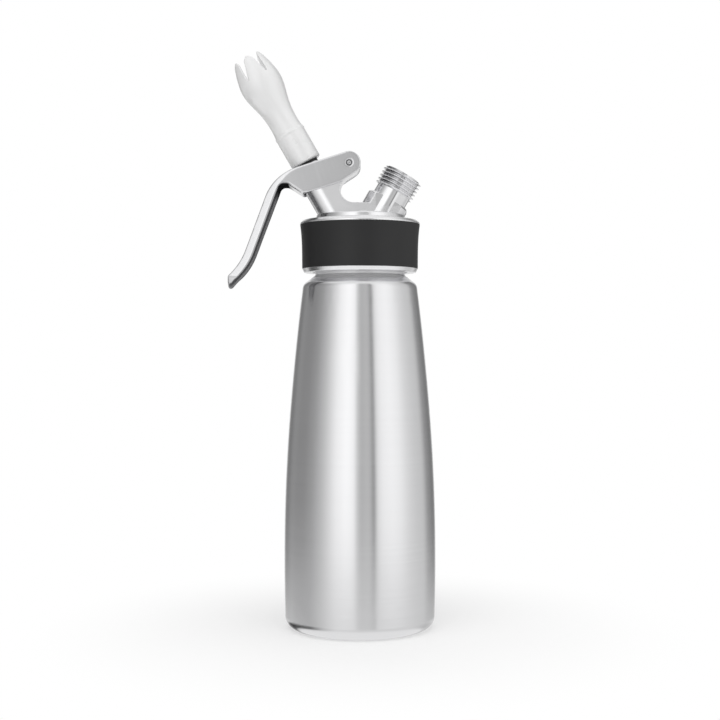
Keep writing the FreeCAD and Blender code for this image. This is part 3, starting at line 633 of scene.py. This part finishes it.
class DISPENSER_OT_stage(bpy.types.Operator):
    """White floor, studio surroundings, one soft lamp and the camera"""

    bl_idname = "dispenser.stage"
    bl_label = "Studio"

    # Brightness of the studio by direction, in degrees to the right of the camera
    surroundings = (
        (-180, 0.85), (-166, 0.80), (-157, 0.24), (-146, 0.20), (-128, 0.30), (-110, 0.27),
        (-95, 0.28), (-78, 0.37), (-60, 0.60), (-50, 0.80), (-38, 1.06), (-22, 1.22),
        (-9, 1.14), (-5, 0.70), (1, 0.48), (12, 0.58), (17, 0.50), (20, 0.20), (22, 0.20),
        (26, 0.90), (36, 1.06), (50, 1.12), (64, 1.04), (80, 0.82), (95, 0.70),
        (112, 0.64), (126, 0.32), (146, 0.20), (157, 0.24), (166, 0.80), (180, 0.85),
    )

    # The same close to the floor's height, where a dark table edge stands on the left
    low_surroundings = (
        (-180, 0.70), (-166, 0.50), (-150, 0.06), (-85, 0.06), (-60, 0.55), (-40, 0.80),
        (0, 0.75), (90, 0.75), (130, 0.55), (180, 0.70),
    )

    # Even bands: sine of the elevation where each starts and where it is full, and its light.
    # The table's edge lies between the first two and takes the low surroundings.
    table_top = (-0.12, -0.27, 0.74)
    table_edge = (-0.27, -0.35)
    steep_down = (-0.50, -0.60, 0.92)
    ceiling = (0.55, 0.90, 0.90)

    def execute(self, context):
        context.scene.view_settings.view_transform = "Standard"
        self.add_world(context)
        self.add_floor(context)
        self.add_lamp(context)
        self.add_camera(context)
        return {"FINISHED"}

    def add_world(self, context):
        """Studio that the piece reflects, behind a white that only the camera sees."""
        world = bpy.data.worlds.new("studio")
        context.scene.world = world
        world.use_nodes = True
        tree = world.node_tree
        tree.nodes.clear()
        direction = split(tree, tree.nodes.new("ShaderNodeTexCoord").outputs["Generated"])
        ahead = calculate(tree, "MULTIPLY", direction["Y"], -1.0)
        turn = calculate(tree, "ARCTAN2", direction["X"], ahead)
        place = add_node(tree, "ShaderNodeMapRange", Value=turn, From_Min=-math.pi,
                         From_Max=math.pi).outputs["Result"]
        walls = self.cards(tree, place, self.surroundings)
        low = self.cards(tree, place, self.low_surroundings)
        for start, end, light in (self.table_top, (*self.table_edge, low), self.steep_down,
                                  self.ceiling):
            share = smooth_step(tree, direction["Z"], start, end)
            walls = self.blend(tree, share, walls, light)
        studio = add_node(tree, "ShaderNodeBackground", Color=(1, 1, 1, 1), Strength=walls)
        white = add_node(tree, "ShaderNodeBackground", Color=(1, 1, 1, 1), Strength=1.0)
        path = tree.nodes.new("ShaderNodeLightPath")
        mixed = blend_shaders(tree, path.outputs["Is Camera Ray"], studio, white)
        output = tree.nodes.new("ShaderNodeOutputWorld")
        plug(tree, output.inputs["Surface"], mixed.outputs[0])

    def cards(self, tree, place, lights):
        """Brightness round the studio from a list of directions and their light."""
        node = add_node(tree, "ShaderNodeValToRGB", Fac=place)
        stops = node.color_ramp.elements
        brightest = max(light for _, light in lights)
        for angle, _ in lights[1:-1]:
            stops.new((angle + 180) / 360)
        for stop, (_, light) in zip(stops, lights):
            share = light / brightest
            stop.color = (share, share, share, 1)
        return calculate(tree, "MULTIPLY", node.outputs["Color"], brightest)

    def blend(self, tree, share, first, second):
        """Value that goes from the first to the second with a mask."""
        made = add_node(tree, "ShaderNodeMix", {"data_type": "FLOAT"})
        for socket, value in zip((0, 2, 3), (share, first, second)):
            plug(tree, made.inputs[socket], value)
        return made.outputs[0]

    def add_floor(self, context):
        """White floor that keeps the soft shadow and stays out of the reflections."""
        shadow_radius = 0.05
        white_radius = 0.22
        glow_in_shadow = 0.4
        bpy.ops.object.select_all(action="DESELECT")
        bpy.ops.mesh.primitive_circle_add(vertices=96, radius=6.0, fill_type="NGON")
        floor = context.active_object
        floor.name = "studio_floor"
        material = bpy.data.materials.new("studio_white")
        material.use_nodes = True
        tree = material.node_tree
        tree.nodes.clear()
        matte = add_node(tree, "ShaderNodeBsdfDiffuse", Color=(0.97, 0.97, 0.97, 1))
        glow = add_node(tree, "ShaderNodeEmission", Strength=1.0)
        coordinates = tree.nodes.new("ShaderNodeTexCoord")
        away = distance_from_origin(tree, coordinates.outputs["Object"])
        far = smooth_step(tree, away, shadow_radius, white_radius, glow_in_shadow)
        path = tree.nodes.new("ShaderNodeLightPath")
        bright = calculate(tree, "MAXIMUM", far, path.outputs["Is Transmission Ray"])
        seen = blend_shaders(tree, bright, matte, glow)
        clear = tree.nodes.new("ShaderNodeBsdfTransparent")
        mirrored = blend_shaders(tree, path.outputs["Is Glossy Ray"], seen, clear)
        output = tree.nodes.new("ShaderNodeOutputMaterial")
        plug(tree, output.inputs["Surface"], mirrored.outputs[0])
        floor.data.materials.append(material)

    def add_lamp(self, context):
        """Round soft lamp above the camera, aimed at the bottle's upper half."""
        lamp = bpy.data.lights.new("top_softbox", "AREA")
        lamp.shape = "DISK"
        lamp.size = 1.6
        lamp.energy = 6.0
        holder = bpy.data.objects.new("top_softbox", lamp)
        holder.location = (-0.15, -0.8, 1.4)
        aim = Vector((0, 0, 0.2)) - Vector(holder.location)
        holder.rotation_euler = aim.to_track_quat("-Z", "Y").to_euler()
        holder.visible_glossy = False
        context.scene.collection.objects.link(holder)

    def add_camera(self, context):
        """Camera in front of the bottle, a little below its middle."""
        focal_pixels = 1330.0
        picture_size = 720.0
        horizon_row = 344.0
        distance = 0.858
        eye_height = 0.1826
        camera = bpy.data.cameras.new("camera")
        camera.sensor_width = 36.0
        camera.lens = camera.sensor_width * focal_pixels / picture_size
        camera.clip_start = 0.01
        camera.clip_end = 50.0
        tilt = math.atan((picture_size / 2 - horizon_row) / focal_pixels)
        holder = bpy.data.objects.new("camera", camera)
        holder.location = (0, -distance, eye_height)
        holder.rotation_euler = (math.pi / 2 - tilt, 0, 0)
        context.scene.collection.objects.link(holder)
        context.scene.camera = holder


class DISPENSER_OT_bottle(bpy.types.Operator):
    """Brushed finish of the drawn steel bottle and its mouth ring"""

    bl_idname = "dispenser.bottle"
    bl_label = "Bottle"

    def execute(self, context):
        finish = context.scene.dispenser_finishes
        paint_nodes(steel("brushed_bottle_steel", finish.steel, 0.20, lines=(10.0, 3200.0),
                          stretch=0.6, bump=0.012, smudge=0.02, change=matt_collar),
                    "bottle_shell")
        paint_nodes(steel("turned_ring_steel", finish.steel, 0.24), "neck_ring")
        return {"FINISHED"}


class DISPENSER_OT_head(bpy.types.Operator):
    """Polished finish of the cast head"""

    bl_idname = "dispenser.head"
    bl_label = "Head"

    def execute(self, context):
        finish = context.scene.dispenser_finishes
        paint_nodes(steel("polished_head_steel", finish.cast_steel, 0.22, lines=(200.0, 900.0),
                          bump=0.004, smudge=0.03, change=polished_boss, edges=cast_edges),
                    "head_body")
        return {"FINISHED"}


class DISPENSER_OT_band(bpy.types.Operator):
    """Black silicone heat band"""

    bl_idname = "dispenser.band"
    bl_label = "Heat band"

    def execute(self, context):
        finish = context.scene.dispenser_finishes
        paint_nodes(moulded("black_band_silicone", finish.silicone, 0.45), "heat_band")
        return {"FINISHED"}


class DISPENSER_OT_lever(bpy.types.Operator):
    """Cast fork lever with sloped flanks along its arm"""

    bl_idname = "dispenser.lever"
    bl_label = "Lever"

    arm_lean = math.radians(20.6)
    arm_root = Vector((-0.0467, 0, -0.0217))
    half_width = 0.0115

    # Share of a face that has to be underside for it to get the painted dark reflection
    dark_share = 0.92

    def execute(self, context):
        sizes = context.scene.dispenser_sizes
        finish = context.scene.dispenser_finishes
        piece = node_copy("lever", "press_lever")
        outer, under = self.edge_faces(piece)
        remeshed(piece, sizes.lever_grain)
        smoothed(piece, 4)
        fitted(piece, frame["nodes"]["lever"])
        self.spare_nose(piece)
        smoothed(piece, 2, "blunt")
        self.slope_flanks(piece, outer, under, sizes)
        smoothed(piece, 4, "blunt")
        self.point_end(piece, sizes)
        pick(piece)
        bpy.ops.object.shade_smooth()
        brushed = steel("satin_lever_steel", finish.lever_steel, 0.15, lines=(60.0, 2400.0),
                        turn=(0, math.pi / 2 - LEVER_SLOPE, 0), centre=PIVOT, bump=0.004,
                        smudge=0.02, change=painted_dark_underside)
        finish_piece(piece, "lever", brushed, "lever")
        dark = piece.data.attributes["underside"].data

        def is_under(face):
            shares = [dark[corner].value for corner in face.vertices]
            return sum(shares) / len(shares) > self.dark_share

        # Painted dark reflection and painted crook shade on the underside's faces
        second_skin(piece, painted_dark_skin("painted_dark_lever_underside", finish.painted_underside_shade_colour, painted_underside_shade),
                    is_under)
        return {"FINISHED"}

    def outward(self):
        """Direction from the arm's underside to its outer face."""
        return Vector((-math.cos(self.arm_lean), 0, math.sin(self.arm_lean)))

    def down(self):
        """Direction along the arm towards the finger end."""
        return Vector((-math.sin(self.arm_lean), 0, -math.cos(self.arm_lean)))

    def edge_faces(self, piece):
        """Search trees of the lever's outer faces and of its under faces."""
        crook_start = -0.060
        corners = [vertex.co.copy() for vertex in piece.data.vertices]
        outer, under = [], []
        for face in piece.data.polygons:
            on_a_side = abs(face.normal.y) >= 0.5
            lean = face.normal.dot(self.outward())
            in_crook = face.normal.z < -0.5 and face.center.x > crook_start
            if not on_a_side and (lean < -0.2 or in_crook):
                under.append(list(face.vertices))
            elif not on_a_side and lean > 0.2:
                outer.append(list(face.vertices))
        return [BVHTree.FromPolygons(corners, faces) for faces in (outer, under)]

    def spare_nose(self, piece):
        """Weights that keep the smoothing off the pointed finger end."""
        sharp_within = 0.0006
        soft_beyond = 0.0040
        blunt = piece.vertex_groups.new(name="blunt")
        nose = max((vertex.co for vertex in piece.data.vertices),
                   key=lambda place: place.dot(self.down()))
        for vertex in piece.data.vertices:
            away = Vector((vertex.co.x - nose.x, 0, vertex.co.z - nose.z)).length
            blunt.add([vertex.index], fade(away, sharp_within, soft_beyond), "REPLACE")

    def slope_flanks(self, piece, outer, under, sizes):
        """Slopes the flanks along both edges and marks where the underside's dark reflection is painted."""
        flank_start, flank_full = -0.030, 0.002
        tower_end, beyond_tower = -0.033, -0.036
        dark_start, dark_full = -0.042, -0.046
        root = PIVOT + self.arm_root
        dark = piece.data.attributes.new("underside", "FLOAT", "POINT")
        for vertex in piece.data.vertices:
            place = vertex.co
            growth = fade((place - root).dot(self.down()), flank_start, flank_full)
            if growth <= 0:
                continue
            to_outer = outer.find_nearest(place)[3]
            to_under = under.find_nearest(place)[3]
            slope = max(0.0, 1 - to_outer / (sizes.flank_width * growth))
            steep = max(0.0, 1 - to_under / sizes.under_width)
            inner = fade(to_under, sizes.under_width * 1.5, sizes.under_width * 0.45)
            dark.data[vertex.index].value = inner * fade(place.x, dark_start, dark_full)
            inwards = (slope * sizes.flank_depth * growth
                       + steep * sizes.under_depth * fade(place.x, tower_end, beyond_tower))
            vertex.co.y = place.y * (1 - inwards / self.half_width)

    def point_end(self, piece, sizes):
        """Rounds the finger end across its width and draws its middle out to a soft point."""
        ends = [vertex.co.dot(self.down()) for vertex in piece.data.vertices]
        end = max(ends)
        half = max(vertex.co.y for vertex in piece.data.vertices)
        for vertex, along in zip(piece.data.vertices, ends):
            share = fade(along, end - sizes.nose_length, end)
            side = vertex.co.y / half
            vertex.co += self.down() * share * (sizes.nose_reach - sizes.nose_round * side ** 2)


class DISPENSER_OT_pin(bpy.types.Operator):
    """Turned lever pin with dished ends"""

    bl_idname = "dispenser.pin"
    bl_label = "Lever pin"

    # Steps of the turned ends from the rim inwards: width and depth, by the pin's radius
    end_steps = ((0.08, 0.00), (0.20, 0.16), (0.06, -0.14), (0.18, 0.00), (0.10, 0.12),
                 (0.16, 0.12), (0.12, 0.04))

    # Grooves of the ends that are painted dark as shade: inner and outer edge, by the pin's radius
    shaded_grooves = ((0.05, 0.22), (0.70, 0.93))

    def execute(self, context):
        sizes = context.scene.dispenser_sizes
        finish = context.scene.dispenser_finishes
        low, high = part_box("lever_pin")
        middle = (low + high) / 2
        radius = sizes.pin_radius
        bpy.ops.object.select_all(action="DESELECT")
        bpy.ops.mesh.primitive_cylinder_add(
            vertices=sizes.pin_sides, radius=radius, depth=high.y - low.y,
            location=middle, rotation=(math.pi / 2, 0, 0))
        piece = context.active_object
        piece.name = "dished_pin"
        bpy.ops.object.transform_apply(location=True, rotation=True, scale=True)
        for side in (-1, 1):
            self.dish_end(piece, side, radius)
        pick(piece)
        bpy.ops.object.shade_smooth_by_angle(angle=math.radians(35))
        finish_piece(piece, "lever", steel("turned_pin_steel", finish.steel, 0.16),
                     "lever_pin")
        end_start = (high.y - low.y) / 2 - 2 * radius

        def is_groove(face):
            offset = face.center - middle
            away = Vector((offset.x, 0, offset.z)).length / radius
            in_groove = any(inner < away < outer for inner, outer in self.shaded_grooves)
            return abs(offset.y) > end_start and in_groove

        # Paints shade into the grooves of the pin's ends
        second_skin(piece, painted_dark_skin("painted_groove_shade", finish.groove_shade), is_groove)
        return {"FINISHED"}

    def dish_end(self, piece, side, radius):
        """Rounds the rim of one end and sinks its middle."""
        pick(piece)
        bpy.ops.object.mode_set(mode="EDIT")
        bpy.ops.mesh.select_mode(type="FACE")
        bpy.ops.mesh.select_all(action="DESELECT")
        bpy.ops.object.mode_set(mode="OBJECT")
        for face in piece.data.polygons:
            face.select = face.normal.y * side > 0.9
        bpy.ops.object.mode_set(mode="EDIT")
        for inset, sink in self.end_steps:
            bpy.ops.mesh.inset(thickness=radius * inset)
            bpy.ops.transform.translate(value=(0, -side * radius * sink, 0))
        bpy.ops.object.mode_set(mode="OBJECT")


class DISPENSER_OT_tip(bpy.types.Operator):
    """Translucent tulip tip with rounded tines and a moulded line"""

    bl_idname = "dispenser.tip"
    bl_label = "Decorator tip"

    def execute(self, context):
        sizes = context.scene.dispenser_sizes
        finish = context.scene.dispenser_finishes
        piece = node_copy("decorator_tip", "tulip_tip")
        remeshed(piece, sizes.tip_grain)
        for repeats in (3, 8, 8):
            smoothed(piece, repeats)
            fitted(piece, frame["nodes"]["decorator_tip"])
        smoothed(piece, 3)
        self.true_collar(piece, sizes)
        self.raise_bead(piece, sizes)
        pick(piece)
        bpy.ops.object.shade_smooth()
        finish_piece(piece, "tip", milky_plastic("milky_tip_plastic", finish.plastic),
                     "decorator_tip")

        def is_lining(face):
            along, across = around_tip(face.center)
            inwards = face.normal.dot(across.normalized()) < -0.3
            return inwards and along > sizes.collar_height

        # The inward faces get painted light as a glow
        second_skin(piece, milky_plastic("painted_glow_tip_lining", finish.plastic,
                                         glow=finish.painted_lining_glow), is_lining)
        return {"FINISHED"}

    def true_collar(self, piece, sizes):
        """Brings the collar's outside back to one radius after the smoothing."""
        margin = 0.0015
        tolerance = 0.0003
        for vertex in piece.data.vertices:
            along, across = around_tip(vertex.co)
            outside = abs(across.length - sizes.collar_radius) < tolerance
            if outside and margin < along < sizes.collar_height + margin:
                vertex.co = TIP_BASE + VALVE_UP * along + across.normalized() * sizes.collar_radius

    def raise_bead(self, piece, sizes):
        """Line round the top of the collar, where the two halves of the mould meet."""
        inside_radius = 0.0088
        for vertex in piece.data.vertices:
            along, across = around_tip(vertex.co)
            away = (along - sizes.collar_height) / sizes.bead_spread
            if across.length > inside_radius and abs(away) < 3:
                vertex.co += across.normalized() * (sizes.bead_height * math.exp(-away ** 2))


class DISPENSER_OT_valve(bpy.types.Operator):
    """Finishes of the dispensing valve, the tip screw and the return spring"""

    bl_idname = "dispenser.valve"
    bl_label = "Valve"

    def execute(self, context):
        finish = context.scene.dispenser_finishes
        paint_nodes(steel("turned_valve_steel", finish.steel, 0.2, lines=(60.0, 2600.0),
                          turn=(0, VALVE_LEAN, 0), centre=TIP_BASE),
                    "valve_seat", "valve_stem", "disc_nut", "tip_adapter", "tip_insert")
        paint_nodes(steel("drawn_spring_steel", finish.steel, 0.3), "return_spring")
        paint_nodes(moulded("white_bush_plastic", finish.bush, 0.4, bump=0.05), "guide_bush")
        return {"FINISHED"}


class DISPENSER_OT_seals(bpy.types.Operator):
    """Rubber seals of the mouth, the valve, the tip and the charger"""

    bl_idname = "dispenser.seals"
    bl_label = "Seals"

    def execute(self, context):
        finish = context.scene.dispenser_finishes
        paint_nodes(moulded("black_seal_rubber", finish.seal, 0.5),
                    "stem_o_ring", "valve_disc", "tip_seal", "holder_seal", "charger_gasket",
                    "check_valve")
        paint_nodes(moulded("white_gasket_silicone", finish.gasket, 0.5, bump=0.05),
                    "head_gasket")
        return {"FINISHED"}


class DISPENSER_OT_charger_parts(bpy.types.Operator):
    """Finishes of the needle and its holder in the charger boss"""

    bl_idname = "dispenser.charger_parts"
    bl_label = "Charger parts"

    def execute(self, context):
        finish = context.scene.dispenser_finishes
        paint_nodes(steel("turned_charger_steel", finish.steel, 0.22, lines=(60.0, 2600.0),
                          turn=(0, CHARGER_LEAN, 0), centre=CHARGER_SOCKET),
                    "pin_holder", "piercing_pin")
        return {"FINISHED"}


OPERATORS = (
    DISPENSER_OT_stage,
    DISPENSER_OT_bottle,
    DISPENSER_OT_head,
    DISPENSER_OT_band,
    DISPENSER_OT_lever,
    DISPENSER_OT_pin,
    DISPENSER_OT_tip,
    DISPENSER_OT_valve,
    DISPENSER_OT_seals,
    DISPENSER_OT_charger_parts,
)


class DISPENSER_PT_panel(bpy.types.Panel):
    """Sidebar panel with the sizes, the colours and every operator"""

    bl_idname = "DISPENSER_PT_panel"
    bl_label = "Cream dispenser"
    bl_space_type = "VIEW_3D"
    bl_region_type = "UI"
    bl_category = "Dispenser"

    def draw(self, context):
        for group in (context.scene.dispenser_sizes, context.scene.dispenser_finishes):
            for name in group.__annotations__:
                self.layout.prop(group, name)
        for operator in OPERATORS:
            self.layout.operator(operator.bl_idname)


CLASSES = (DispenserSizes, DispenserFinishes, *OPERATORS, DISPENSER_PT_panel)


def register():
    for item in CLASSES:
        bpy.utils.register_class(item)
    bpy.types.Scene.dispenser_sizes = PointerProperty(type=DispenserSizes)
    bpy.types.Scene.dispenser_finishes = PointerProperty(type=DispenserFinishes)


def unregister():
    del bpy.types.Scene.dispenser_finishes
    del bpy.types.Scene.dispenser_sizes
    for item in reversed(CLASSES):
        bpy.utils.unregister_class(item)


def main():
    """Registers the add-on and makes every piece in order."""
    register()
    for operator in OPERATORS:
        group, name = operator.bl_idname.split(".")
        getattr(getattr(bpy.ops, group), name)()


if __name__ == "__main__":
    main()
